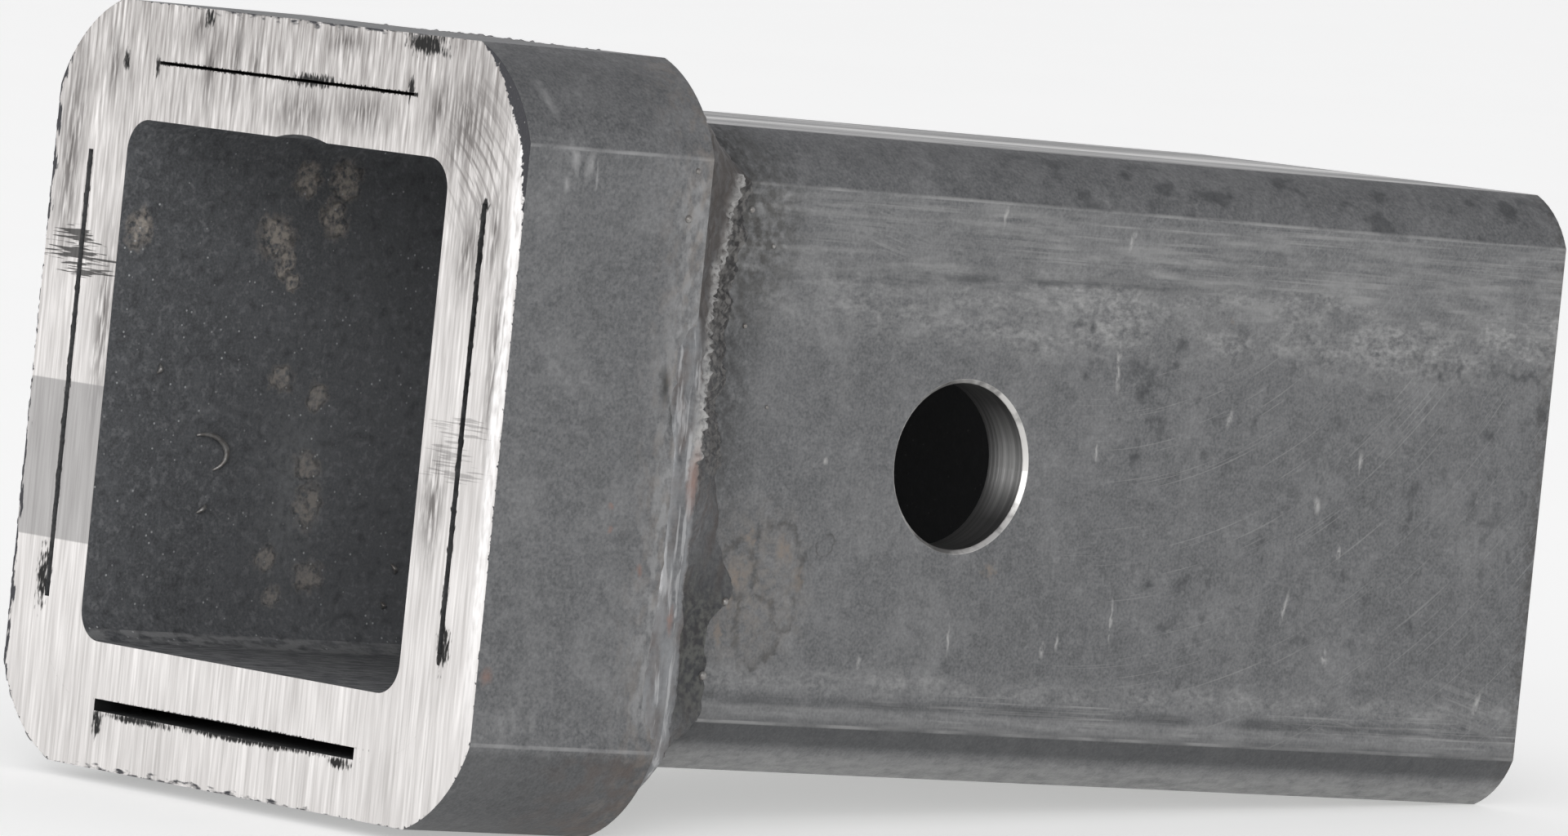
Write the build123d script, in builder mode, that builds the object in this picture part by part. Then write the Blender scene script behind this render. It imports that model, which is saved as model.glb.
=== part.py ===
"""Weld-on receiver tube: a square steel tube with a reinforcing collar welded round its mouth.

Millimetres. The origin is the centre of the mouth, on the ground face. +Y runs into the tube,
+X is the side with the pin hole in view and +Z is up, where the tube's own seam lies.
"""

import os
from math import sqrt

from build123d import *

os.makedirs("parts", exist_ok=True)

# Receiver tube
tube_width = 63.5
tube_wall = 5.65
tube_length = 142.0
tube_crease = 5.2
tube_corner_radius = 9.5
bore_corner_radius = 3.2

# Scarfed seam along the inside of the top wall
seam_offset = 2.2
seam_width = 8.2
seam_depth = 0.5

# Pin hole through both side walls
pin_hole_diameter = 16.7
pin_hole_chamfer = 0.4
pin_hole_setback = 63.5

# Reinforcing collar, which hangs a little low on the tube
collar_length = 22.8
collar_wall = 5.75
collar_clearance = 0.75
collar_drop = 0.45
collar_crease = 9.2
collar_corner_radius = 15.0
collar_bore_crease = 5.0

# Corner welds: how far each reaches along its side from the tube's corner, low end first
corner_weld_depth = 6.0
top_reach = (9.75, 12.35)
bottom_reach = (9.35, 11.45)
left_reach = (9.25, 9.25)
right_reach = (10.45, 9.45)

# Rear fillet weld, station by station along each side: where it is as a share of the flat's half,
# how far its toe runs along the tube, how far its crest stops short of the collar's outer face,
# and how much its face bulges
right_stations = (
    (-1.00, 8.8, 0.25, 0.9),
    (-0.77, 9.8, 0.20, 0.8),
    (-0.50, 13.2, 0.20, 0.3),
    (-0.28, 9.8, 0.20, 0.6),
    (0.00, 8.2, 0.15, 0.8),
    (0.38, 7.9, 0.20, 0.7),
    (0.72, 7.6, 0.55, 0.2),
    (1.00, 7.2, 0.60, 0.2),
)
top_stations = (
    (-1.00, 7.0, 0.40, 0.4),
    (-0.53, 8.4, 0.15, 0.6),
    (0.04, 7.9, 0.10, 0.7),
    (0.53, 7.4, 0.20, 0.6),
    (1.00, 6.8, 0.45, 0.3),
)
left_stations = (
    (-1.00, 7.4, 0.30, 0.5),
    (-0.49, 9.0, 0.15, 0.7),
    (0.02, 8.0, 0.15, 0.8),
    (0.53, 8.2, 0.20, 0.6),
    (1.00, 7.1, 0.40, 0.4),
)
bottom_stations = (
    (-1.00, 7.2, 0.60, 0.4),
    (-0.53, 8.6, 0.50, 0.6),
    (0.00, 7.9, 0.40, 0.8),
    (0.53, 8.8, 0.50, 0.7),
    (1.00, 8.0, 0.60, 0.5),
)
corner_leg = 5.6
corner_shortfall = 0.6
corner_bulge = 0.3
bead_root = 0.8

# Where the crest rolled over the collar's rear edge: share of the flat's half, and roll radius
roll_sink = 1.1
right_roll = ((-0.96, 1.25), (-0.64, 1.50), (-0.30, 1.45), (0.06, 1.60), (0.40, 1.25))
left_roll = ((-0.72, 1.30), (-0.30, 1.50), (0.30, 1.25))

tube_bore = tube_width - 2 * tube_wall
collar_bore = tube_width + 2 * collar_clearance
collar_width = collar_bore + 2 * collar_wall
collar_plane = Plane((0, 0, -collar_drop), x_dir=(1, 0, 0), z_dir=(0, -1, 0))


def rolled_square(plane, width, crease, radius):
    """Square outline whose flats end at creases, joined there by flattened corner arcs."""
    half = width / 2
    near = half - crease
    with BuildSketch(plane) as outline:
        with BuildLine():
            top = Line((-near, half), (near, half))
            right = Line((half, near), (half, -near))
            bottom = Line((near, -half), (-near, -half))
            left = Line((-half, -near), (-half, near))
            RadiusArc(top @ 1, right @ 0, radius)
            RadiusArc(right @ 1, bottom @ 0, radius)
            RadiusArc(bottom @ 1, left @ 0, radius)
            RadiusArc(left @ 1, top @ 0, radius)
        make_face()
    return outline.sketch


tube_outline = rolled_square(Plane.XZ, tube_width, tube_crease, tube_corner_radius)
collar_outline = rolled_square(collar_plane, collar_width, collar_crease, collar_corner_radius)
collar_bore_outline = rolled_square(
    collar_plane, collar_bore, collar_bore_crease, collar_corner_radius - collar_wall
)

# The seam's scarf is a shallow arc, seam_width across and seam_depth deep
seam_radius = seam_width**2 / (8 * seam_depth) + seam_depth / 2

with BuildPart() as receiver_tube:
    extrude(tube_outline, amount=-tube_length)
    with BuildSketch(Plane.XZ):
        RectangleRounded(tube_bore, tube_bore, bore_corner_radius)
        with Locations((seam_offset, tube_bore / 2 + seam_depth - seam_radius)):
            Circle(seam_radius)
    extrude(amount=-tube_length, mode=Mode.SUBTRACT)
    with BuildSketch(Plane.YZ):
        with Locations((pin_hole_setback, 0)):
            Circle(pin_hole_diameter / 2)
    extrude(amount=tube_width, both=True, mode=Mode.SUBTRACT)
    hole_rims = receiver_tube.edges().filter_by(
        lambda edge: edge.geom_type == GeomType.CIRCLE
        and abs(edge.radius - pin_hole_diameter / 2) < 0.01
        and abs(abs(edge.center(CenterOf.BOUNDING_BOX).X) - tube_width / 2) < 0.01
    )
    chamfer(hole_rims, pin_hole_chamfer)

receiver_tube.part.label = "receiver_tube"
export_step(receiver_tube.part, "parts/receiver_tube.step")

with BuildPart() as reinforcing_collar:
    extrude(collar_outline, amount=-collar_length)
    extrude(collar_bore_outline, amount=-collar_length, mode=Mode.SUBTRACT)

reinforcing_collar.part.label = "reinforcing_collar"
export_step(reinforcing_collar.part, "parts/reinforcing_collar.step")

# The corner welds fill the clearance everywhere but the four straight slits
tube_half = tube_width / 2
with BuildPart() as front_corner_welds:
    extrude(collar_bore_outline, amount=-corner_weld_depth)
    extrude(tube_outline, amount=-corner_weld_depth, mode=Mode.SUBTRACT)
    with BuildSketch(Plane.XZ):
        for side, (low, high) in ((1, top_reach), (-1, bottom_reach)):
            with Locations(((low - high) / 2, side * tube_half)):
                Rectangle(tube_width - low - high, collar_wall)
        for side, (low, high) in ((-1, left_reach), (1, right_reach)):
            with Locations((side * tube_half, (low - high) / 2)):
                Rectangle(collar_wall, tube_width - low - high)
    extrude(amount=-corner_weld_depth, mode=Mode.SUBTRACT)

front_corner_welds.part.label = "front_corner_welds"
export_step(front_corner_welds.part, "parts/front_corner_welds.step")


def corner_middle(half, crease, radius):
    """How far out each way the middle of a flattened corner arc lies."""
    chord = crease * sqrt(2)
    rise = radius - sqrt(radius**2 - chord**2 / 4)
    return half - crease / 2 + rise / sqrt(2)


def bead_section(tube_point, collar_point, leg, shortfall, bulge):
    """Weld section from a point on the tube out to the one over it on the collar's outer edge."""
    outward = collar_point - tube_point
    crest = outward.length - shortfall
    plane = Plane(tube_point, x_dir=outward, z_dir=outward.cross(Vector(0, 1, 0)))
    with BuildSketch(plane) as section:
        with BuildLine():
            face = Spline(
                (crest, 0),
                (crest - 0.3, 1.2),
                (0.5 * crest + bulge, 0.5 * leg + bulge),
                (0, leg),
                (-bead_root, leg + bead_root / 2),
            )
            Line(face @ 1, (-2 * bead_root, 0))
            Line((-2 * bead_root, 0), face @ 0)
        make_face()
    return section.sketch


# Each side is drawn as the right one, facing +X with +Z along it, and turned into place
collar_half = collar_width / 2
tube_middle = corner_middle(tube_half, tube_crease, tube_corner_radius)
collar_middle = corner_middle(collar_half, collar_crease, collar_corner_radius)
tube_flat = tube_half - tube_crease
collar_flat = collar_half - collar_crease
hang = Vector(0, 0, -collar_drop)


def bead_side(turn, stations):
    """Sections along one side of the weld, from the middle of one corner to the next."""
    corner = (corner_leg, corner_shortfall, corner_bulge)
    places = [(tube_middle, -tube_middle, collar_middle, -collar_middle, *corner)]
    for share, *shape in stations:
        places.append((tube_half, share * tube_flat, collar_half, share * collar_flat, *shape))
    places.append((tube_middle, tube_middle, collar_middle, collar_middle, *corner))
    sections = []
    for tube_x, tube_z, collar_x, collar_z, *shape in places:
        tube_point = Vector(tube_x, collar_length, tube_z).rotate(Axis.Y, turn)
        collar_point = Vector(collar_x, collar_length, collar_z).rotate(Axis.Y, turn) + hang
        sections.append(bead_section(tube_point, collar_point, *shape))
    return sections


def crest_roll(side, stations):
    """Round sections of the crest where it rolled over the collar's rear edge on one side."""
    sections = []
    for share, radius in stations:
        centre = (side * (collar_half - roll_sink), collar_length, share * tube_flat)
        with BuildSketch(Plane(centre)) as section:
            Circle(radius)
        sections.append(section.sketch)
    return sections


bead_sides = ((0, right_stations), (-90, top_stations), (180, left_stations), (90, bottom_stations))
with BuildPart() as rear_fillet_weld:
    for side, stations in ((1, right_roll), (-1, left_roll)):
        loft(crest_roll(side, stations), ruled=True)
    extrude(collar_outline, amount=-collar_length, mode=Mode.SUBTRACT)
    for turn, stations in bead_sides:
        loft(bead_side(turn, stations))
    extrude(tube_outline, amount=-tube_length, mode=Mode.SUBTRACT)

rear_fillet_weld.part.label = "rear_fillet_weld"
export_step(rear_fillet_weld.part, "parts/rear_fillet_weld.step")
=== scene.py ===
# %% [markdown]
# # Weld-on receiver tube
# This is a square steel tube that a trailer drawbar slides into. A heavy collar is welded round its
# mouth, and the two were ground flush together, so the mouth is bright bare metal while the rest
# still wears the blue-grey scale of the rolling mill.
# The tube, the collar and the corner welds arrive as CAD solids and keep their shape here. This
# script gives them their finishes, and builds what a solid model can't say well: the weld bead
# itself, the burr that the grinder left, and a few droplets and slivers.

# %% Load the fixed frame
import math

import bpy
import numpy as np
from mathutils import Matrix, Vector


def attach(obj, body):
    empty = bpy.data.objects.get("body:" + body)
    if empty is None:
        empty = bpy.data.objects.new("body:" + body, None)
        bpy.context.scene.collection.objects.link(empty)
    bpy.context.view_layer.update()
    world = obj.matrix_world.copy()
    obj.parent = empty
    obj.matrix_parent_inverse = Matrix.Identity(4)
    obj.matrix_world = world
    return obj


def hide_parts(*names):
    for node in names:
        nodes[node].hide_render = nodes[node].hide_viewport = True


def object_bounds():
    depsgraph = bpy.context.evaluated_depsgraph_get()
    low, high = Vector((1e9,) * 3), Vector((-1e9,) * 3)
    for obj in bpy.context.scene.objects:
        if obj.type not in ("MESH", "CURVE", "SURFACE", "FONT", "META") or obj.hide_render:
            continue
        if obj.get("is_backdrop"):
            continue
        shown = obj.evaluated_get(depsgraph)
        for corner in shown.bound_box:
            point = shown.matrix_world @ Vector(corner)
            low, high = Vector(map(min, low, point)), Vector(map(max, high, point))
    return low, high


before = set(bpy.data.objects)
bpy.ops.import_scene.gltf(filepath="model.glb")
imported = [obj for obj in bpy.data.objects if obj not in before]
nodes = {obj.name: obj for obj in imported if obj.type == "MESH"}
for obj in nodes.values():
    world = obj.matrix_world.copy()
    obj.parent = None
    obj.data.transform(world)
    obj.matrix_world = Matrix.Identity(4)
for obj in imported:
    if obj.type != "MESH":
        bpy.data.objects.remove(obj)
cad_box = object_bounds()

print("CAD nodes:", sorted(nodes))
print("CAD box in mm:", [[round(1000 * value, 2) for value in corner] for corner in cad_box])

# %% Sizes that the finishes and the new pieces share, in mm
# A section is its half width, how far its creases lie from the corner, and the radius between them.
tube_half, tube_length, inner_wall = 31.75, 142.0, -26.1
collar_half, collar_length, collar_drop = 38.25, 22.8, 0.45
tube_section, collar_section = (tube_half, 5.2, 9.5), (collar_half, 9.2, 15.0)
tube_crease_line, collar_crease_line = 26.55, 29.05
collar_arc_centre, collar_arc_radius = 24.09, 15.0
pin_hole_setback, pin_hole_rim = 63.5, 8.77
face_depth = 0.03  # what lies this near to an end face wears that face's finish
print("collar stands out from the tube by", collar_half - tube_half, "mm")

# %% [markdown]
# ## Where the camera stands
# The photograph was taken with a long lens from the right of the mouth, almost level with it, and
# the picture leans a little. A camera is set by its distance from a point on the part, the way it
# looks, its lean and the length of its lens. Long lenses flatten a shape, so a short lens nearer by
# would show the collar too large for the tube.

# %% Camera at the photograph's viewing angle
aim = Vector((0.00772, 0.06, 0.0024))
azimuth, elevation, lean = (math.radians(angle) for angle in (50.44, 2.31, 5.81))
camera_distance = 1.302
lens_in_widths = 8.252

back = Vector((
    math.sin(azimuth) * math.cos(elevation), -math.cos(azimuth) * math.cos(elevation),
    math.sin(elevation),
))
level_right = Vector((0, 0, 1)).cross(back).normalized()
level_up = back.cross(level_right)
picture_right = math.cos(lean) * level_right + math.sin(lean) * level_up
picture_up = back.cross(picture_right)

camera = bpy.data.objects.new("camera", bpy.data.cameras.new("camera"))
camera.data.sensor_width = 36.0
camera.data.lens = 36.0 * lens_in_widths
camera.data.clip_start, camera.data.clip_end = 0.05, 60.0
turned = Matrix((picture_right, picture_up, back)).transposed()
camera.matrix_world = Matrix.Translation(aim + camera_distance * back) @ turned.to_4x4()
bpy.context.scene.collection.objects.link(camera)
bpy.context.scene.camera = camera
print("camera stands at", [round(value, 3) for value in camera.location])

# %% [markdown]
# ## Helpers for finishes
# Every finish below is a network of nodes. One helper adds a node to the network that its inputs
# come from, sets it, links it and hands back one of its outputs, and the patterns are built from
# that. Colours are written as a maker would match them on a screen, in sRGB hex, while the renderer
# mixes light in linear numbers, so one function turns the first into the second.

# %% One node, one colour
def add(kind, inputs=(), out=0, tree=None, **settings):
    """One node: inputs go in by name or in order, settings on the node, and one output comes back.

    It joins the network that its inputs come from. A node that nothing flows into is told its tree.
    """
    inputs = inputs if isinstance(inputs, dict) else dict(enumerate(inputs))
    linked = [value for value in inputs.values() if isinstance(value, bpy.types.NodeSocket)]
    tree = tree or linked[0].id_data
    node = tree.nodes.new("ShaderNode" + kind)
    for name, value in settings.items():
        setattr(node, name, value)
    for key, value in inputs.items():
        if isinstance(value, bpy.types.NodeSocket):
            tree.links.new(value, node.inputs[key])
        else:
            node.inputs[key].default_value = value
    return node.outputs[out] if node.outputs else node


def linear(hex_colour):
    """sRGB hex to linear: c / 12.92 up to 0.04045, above it ((c + 0.055) / 1.055) to the power 2.4."""
    channels = [int(hex_colour[i:i + 2], 16) / 255 for i in (1, 3, 5)]
    curved = [c / 12.92 if c <= 0.04045 else ((c + 0.055) / 1.055) ** 2.4 for c in channels]
    return (*curved, 1.0)


print("mid grey #808080 is linear", round(linear("#808080")[0], 3))

# %% Patterns, with every size in millimetres
def fold(operation, first, *others):
    """Several values made one, by the same sum over and over."""
    for other in others:
        first = add("Math", (first, other), operation=operation)
    return first


def coats(base, *layers):
    """Layers over a base, from the bottom up: each is its shares, multiplied, and then its value."""
    plain_number = isinstance(base, float) or getattr(base, "type", "") == "VALUE"
    kind, slot, out = ("FLOAT", 2, 0) if plain_number else ("RGBA", 6, 2)
    base = linear(base) if isinstance(base, str) else base
    for *shares, value in layers:
        value = linear(value) if isinstance(value, str) else value
        share = fold("MULTIPLY", *shares)
        base = add("Mix", {0: share, slot: base, slot + 1: value}, out, data_type=kind)
    return base


def lay(texture, size, centre=(0, 0, 0), turn=(0, 0, 0)):
    """Lays a texture out on the part: its unit is size mm, and its turn is in degrees."""
    laid = texture.node.texture_mapping
    laid.vector_type = "TEXTURE"
    laid.scale, laid.translation = size if np.ndim(size) else (size,) * 3, centre
    laid.rotation = [math.radians(angle) for angle in turn]
    return texture


def mottle(place, size, low=0.3, high=0.7, detail=2.0):
    """Cloudy noise with blotches of size mm: 0 where it is under low and 1 where it is over high."""
    cloud = lay(add("TexNoise", {"Vector": place, "Scale": 1.0, "Detail": detail}), size)
    return add("MapRange", (cloud, low, high))


def flecks(place, cell, share, reach):
    """Separate marks, one in each cell of cell mm, in this share of the cells; reach is in cells."""
    far = lay(add("TexVoronoi", {"Vector": place, "Scale": 1.0}, out="Distance"), cell)
    lot = add("SeparateColor", (far.node.outputs["Color"],))
    near = add("MapRange", (far, reach, 0.5 * reach))
    picked = fold("LESS_THAN", lot, share)
    return fold("MULTIPLY", near, picked)


mark_ball = 1.4


def closeness(place, marks):
    """1 at a mark's middle, 0 at mark_ball times its half-sizes: the largest of a ball each."""
    nearest = 0.0
    for centre, half_sizes, *turn in marks:
        ball = add("TexGradient", {"Vector": place}, out=1, gradient_type="SPHERICAL")
        lay(ball, [mark_ball * half for half in half_sizes], centre, *turn)
        nearest = fold("MAXIMUM", ball, nearest)
    return nearest


def spots(place, marks, inner=0.75, outer=1.15):
    """1 inside any mark and 0 outside. A mark is its centre, its half-sizes and its turn in degrees."""
    return add("MapRange", (closeness(place, marks), 1 - outer / mark_ball, 1 - inner / mark_ball))


through = 9  # mm that a mark reaches into the steel each way


def on_wall(x, *rows):
    """Marks on the wall at x, from rows of y, z, half-sizes and, where a mark leans, its turn."""
    return [((x, y, z), (through, wide, high), (sum(turn), 0, 0)) for y, z, wide, high, *turn in rows]


def on_mouth(*rows):
    """Marks on the ground mouth, from rows of x, z, half-sizes and, where a mark leans, its turn."""
    return [((x, 0, z), (wide, through, high), (0, sum(turn), 0)) for x, z, wide, high, *turn in rows]


def ragged(place, size, reach):
    """The place pushed about by noise with blotches of size mm, by up to reach mm each way."""
    cloud = lay(add("TexNoise", {"Vector": place, "Scale": 1.0, "Detail": 3.0}, out="Color"), size)
    push = add("VectorMath", (cloud, (0.5, 0.5, 0.5)), operation="SUBTRACT")
    push = add("VectorMath", (push, [4 * r for r in reach]), operation="MULTIPLY")
    return add("VectorMath", (place, push), operation="ADD")


def eaten(soft, noise, fade=0.14):
    """A mark with a crumbled edge: it starts where soft mark and noise, each 0 to 1, add up to 1."""
    total = fold("ADD", soft, noise)
    return add("MapRange", (total, 1.0, 1.0 + fade))


def band(value, low, high, fade=0.05):
    """1 where the value lies between low and high, fading over fade mm at each end."""
    over = add("MapRange", (value, low - fade, low))
    under = add("MapRange", (value, high + fade, high))
    return fold("MULTIPLY", over, under)


def new_finish(name):
    """A named material with an empty network, and the place on the part in millimetres."""
    material = bpy.data.materials.new(name)
    material.use_nodes = True
    material.node_tree.nodes.clear()
    metres = add("TexCoord", out="Object", tree=material.node_tree)
    return material, add("VectorMath", (metres, (1000,) * 3), operation="MULTIPLY")


def close_finish(colour, metallic, roughness, height, relief):
    """The shader itself: height from 0 to 1 stands for relief mm of unevenness."""
    normal = add("Bump", {"Strength": 1.0, "Distance": relief / 1000, "Height": height})
    shader = add("BsdfPrincipled", {
        "Base Color": colour, "Metallic": metallic, "Roughness": roughness, "Normal": normal,
    })
    add("OutputMaterial", {"Surface": shader})


def dress(name, finish):
    """Gives a CAD node this finish in place of the plain one that it came with."""
    worn_by = nodes[name].data.materials
    worn_by.clear()
    worn_by.append(finish)
    print(name, "wears", finish.name, "of", len(finish.node_tree.nodes), "nodes")


print("a mark fades out by", mark_ball, "times its half-sizes")

# %% [markdown]
# ## The ground mouth
# Tube, collar and corner welds were ground flush in one go with a coarse belt, so the mouth is one
# bright face with near-upright lines across all three pieces. Brushed lines could come from a
# stretched image; here they are noise drawn out about 30 times longer than it is wide, on the part's
# own coordinates, so that the lines run on from piece to piece. Real belt lines are about 0.1 mm
# apart, too fine for the picture, so they are drawn 0.35 mm wide.

# %% Grime and scratches on the ground steel
ground_light, ground_dark = linear("#EAE7E5"), linear("#827D7A")
grime = linear("#171615")

grime_marks = on_mouth(
    (-33.1, -20.6, 1.3, 4.0), (32.6, -20.7, 1.4, 2.8), (-21.7, -34.0, 1.0, 2.3),
    (-15.0, -33.2, 8.0, 0.6), (3.0, -33.0, 19.0, 0.6), (0.0, -31.8, 24.0, 0.25),
    (18.2, -33.5, 2.4, 0.8), (18.9, 32.5, 0.7, 1.7), (-22.4, 31.5, 0.6, 1.5), (-27.6, 31.8, 0.65, 1.5),
    (32.3, 22.1, 0.9, 0.9), (3.2, 32.05, 5.0, 0.9), (20.8, 36.9, 4.6, 1.7, 5), (-14.6, 36.9, 1.2, 1.2),
)
cross_scratch_marks = on_mouth(
    (-32.6, 11.8, 8.0, 1.6, 1), (-33.0, 13.4, 5.5, 1.5, 1), (-31.5, 10.2, 6.0, 0.9, -1),
)
faint_scratch_marks = on_mouth(
    (32.2, 0.5, 7.0, 1.5, -1), (31.8, -4.0, 6.8, 1.2, -1), (30.4, -2.2, 4.0, 3.2),
)
dull_patches = on_mouth(
    (-13.6, 32.6, 1.6, 6.2, 4), (-9.6, 33.4, 1.3, 5.2, 4), (-6.4, 33.2, 1.1, 3.6, 4),
    (1.5, 28.8, 6.5, 2.8), (11.5, 29.6, 5.4, 2.6), (28.6, -7.2, 2.4, 7.4), (-35.4, 22.0, 2.4, 15.0),
    (28.2, 30.0, 4.6, 7.6, 20), (36.2, 8.0, 1.6, 13.0), (-27.4, 6.0, 2.0, 12.0),
    (30.2, 17.4, 2.2, 5.5, 10), (34.2, 19.6, 1.2, 6.0), (-16.0, 36.0, 1.6, 2.6), (8.0, 36.2, 5.0, 1.7),
    (23.5, 31.0, 2.2, 4.4, 12), (-29.6, 31.6, 1.5, 4.0),
)

slit_side, slit_top, slit_bottom = 32.125, 31.9, -32.35


def slit_borders(x, z):
    """Soft border of the four slits: 1 at a slit's middle line, 0 at 0.4 mm past its edge."""
    across = add("Math", (x,), operation="ABSOLUTE")
    beside = add("Math", (fold("SUBTRACT", across, slit_side),), operation="ABSOLUTE")
    upright = add("MapRange", (beside, 0.7, 0.12))
    over = add("Math", (fold("SUBTRACT", z, slit_top),), operation="ABSOLUTE")
    top = add("MapRange", (over, 0.4, 0.05))
    under = add("Math", (fold("SUBTRACT", z, slit_bottom),), operation="ABSOLUTE")
    bottom = add("MapRange", (under, 0.84, 0.4))
    level = fold("MULTIPLY", fold("MAXIMUM", top, bottom), band(x, -22.2, 19.9, 0.3))
    upright = fold("MULTIPLY", upright, band(z, -22.3, 22.2, 0.3))
    return fold("MAXIMUM", level, upright)


print("ground mouth:", len(grime_marks), "grime marks,", len(dull_patches), "dull patches")

# %% Ground steel
def ground_mouth(place, x, z):
    """Colour, roughness, height and cleanness of the ground face, alike on every piece in it."""
    lines = mottle(place, (0.35, 9, 10), 0.34, 0.66, 4.0)
    wide_lines = mottle(place, (1.1, 9, 16), 0.36, 0.64, 3.0)
    patches = mottle(place, (7, 9, 12), 0.38, 0.66)
    feathers = mottle(place, (0.3, 9, 1.1), 0.28, 0.74, 4.0)
    cross = mottle(place, (6, 9, 0.26), 0.34, 0.66, 3.0)
    dirt = eaten(spots(place, grime_marks, 0.25, 1.3), feathers, 0.32)
    slits = eaten(slit_borders(x, z), feathers, 0.22)
    scored = eaten(spots(place, cross_scratch_marks, 0.0, 1.0), cross)
    faintly = eaten(fold("MULTIPLY", spots(place, faint_scratch_marks, 0.0, 1.0), 0.8), cross)
    dull = fold(
        "MULTIPLY", spots(place, dull_patches, 0.1, 1.1), mottle(place, (0.38, 9, 3), 0.36, 0.56, 5.0),
        0.88,
    )
    swung_place = add("VectorMath", (place, (-16.0, 0.0, -12.0)), operation="ADD")
    swung = add("SeparateXYZ", (swung_place,)).node.outputs
    swing_radius = add("VectorMath", (swung_place,), out="Value", operation="LENGTH")
    swing_angle = fold("ARCTAN2", swung[0], swung[2])
    swing = add("CombineXYZ", (swing_radius, fold("MULTIPLY", swing_angle, 18.0)))
    curved = fold(
        "MULTIPLY", mottle(swing, (0.5, 5.0, 9), 0.5, 0.62, 3.0),
        spots(place, on_mouth((30.6, 26.4, 6.5, 8.5)), 0.2, 1.1), 0.7,
    )
    # Darker towards the top of the face: painted shade, broken into streaks.
    higher = add("MapRange", (z, -30, 38))
    streaks = mottle(place, (0.42, 9, 4.5), 0.31, 0.69, 5.0)
    upper = fold("MULTIPLY", higher, higher, fold("ADD", fold("MULTIPLY", streaks, 0.86), 0.04))
    # A greyer band across the left strip, with sharp upper and lower edges.
    left_grey_band = fold("MULTIPLY", band(x, -39.0, -25.9, 0.1), band(z, -16.6, -0.9, 0.14), 0.62)
    black = fold("MAXIMUM", dirt, slits, fold("MULTIPLY", scored, 0.82))
    colour = coats(
        ground_light, (lines, 0.38, ground_dark), (wide_lines, 0.18, ground_dark),
        (patches, 0.14, ground_dark), (upper, "#6A6562"), (dull, "#575351"), (curved, "#625E5C"),
        (left_grey_band, "#828181"), (faintly, 0.35, grime), (black, grime),
    )
    roughness = coats(0.3, (wide_lines, 0.38), (black, 0.8))
    clean = fold("SUBTRACT", 1.0, black)
    return colour, roughness, lines, clean


# %% [markdown]
# The rim of the ground face isn't even. The belt missed a narrow strip round the upper right corner,
# and along the left edge it left dark ragged scale. The strip follows the collar's outline, so the
# pattern needs each point's depth inside that outline: a square with corners of one radius, where
# the depth is the least of three plain ones.

# %% Depth inside the collar's outline, and the ragged rim
def rim_depth(x, z):
    """Mm inside the outline: least of half - |x|, half - |z| and radius - way from the arc's centre."""
    across = add("Math", (x,), operation="ABSOLUTE")
    upward = add("Math", (fold("ADD", z, collar_drop),), operation="ABSOLUTE")
    past_centre = [
        fold("MAXIMUM", fold("SUBTRACT", way, collar_arc_centre), 0.0) for way in (across, upward)
    ]
    corner = add("CombineXYZ", past_centre)
    far = add("VectorMath", (corner,), out="Value", operation="LENGTH")
    return fold(
        "MINIMUM", fold("SUBTRACT", collar_half, across), fold("SUBTRACT", collar_half, upward),
        fold("SUBTRACT", collar_arc_radius, far),
    )


def ragged_rim(place, depth):
    """How much of the rim is unground: a strip whose width follows where the belt lifted."""
    crumbs = mottle(place, (0.55, 9, 0.55), 0.25, 0.75, 3.0)
    long_crumbs = mottle(place, (0.5, 9, 2.4), 0.38, 0.66, 4.0)
    missed = spots(place, on_mouth((36.2, 31.4, 9.0, 11.0)), 0.15, 1.0)
    missed_width = fold("MULTIPLY", missed, 1.7)
    corner = eaten(add("MapRange", (fold("SUBTRACT", missed_width, depth), -0.4, 0.5)), crumbs)
    flat_crumbs = mottle(place, (1.8, 9, 0.5), 0.38, 0.7, 4.0)
    near = add("MapRange", (depth, 0.95, 0.0))
    upright = fold("MULTIPLY", near, spots(place, on_mouth(
        (-38.5, 24.0, 3.0, 13.0), (-38.5, -20.0, 3.0, 20.0),
    ), 0.5, 1.0))
    level = fold("MULTIPLY", near, spots(place, on_mouth(
        (2.0, 37.8, 26.0, 1.6), (-6.0, -38.7, 30.0, 1.6),
    ), 0.5, 1.0), 0.86)
    return fold("MAXIMUM", corner, eaten(upright, long_crumbs), eaten(level, flat_crumbs, 0.4))


def rim_highlight_line(place, depth):
    """A rough bright line inside the right and upper right edge, where the belt ran off the steel,
    painted as a highlight.
    """
    beside = spots(place, on_mouth((37.5, 4.0, 5.0, 36.0)), 0.6, 1.0)
    inside_edge = band(depth, 0.5, 1.5, 0.8)
    return fold("MULTIPLY", beside, inside_edge, mottle(place, (0.6, 9, 2.2), 0.28, 0.58, 4.0))


print("collar outline reaches", collar_arc_centre + collar_arc_radius, "mm out from its arc centre")

# %% [markdown]
# ## Mill scale
# Hot-rolled steel leaves the mill with a thin blue-grey oxide on it. It is neither paint nor bare
# metal: dull, faintly cloudy, a little metallic, and bright again wherever it was rubbed, knocked or
# drawn through rolls. The finish is therefore a dark base, clouds, a fine grain, and rubbed marks
# over it that are lighter and more metallic.

# %% Scale that all the outer faces share
scale_mid, scale_dark, scale_light = linear("#626365"), linear("#404244"), linear("#A6A6A6")
rust_dark, rust_tan, rust_pink = linear("#5D5049"), linear("#8A8077"), linear("#8D6F64")


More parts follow.
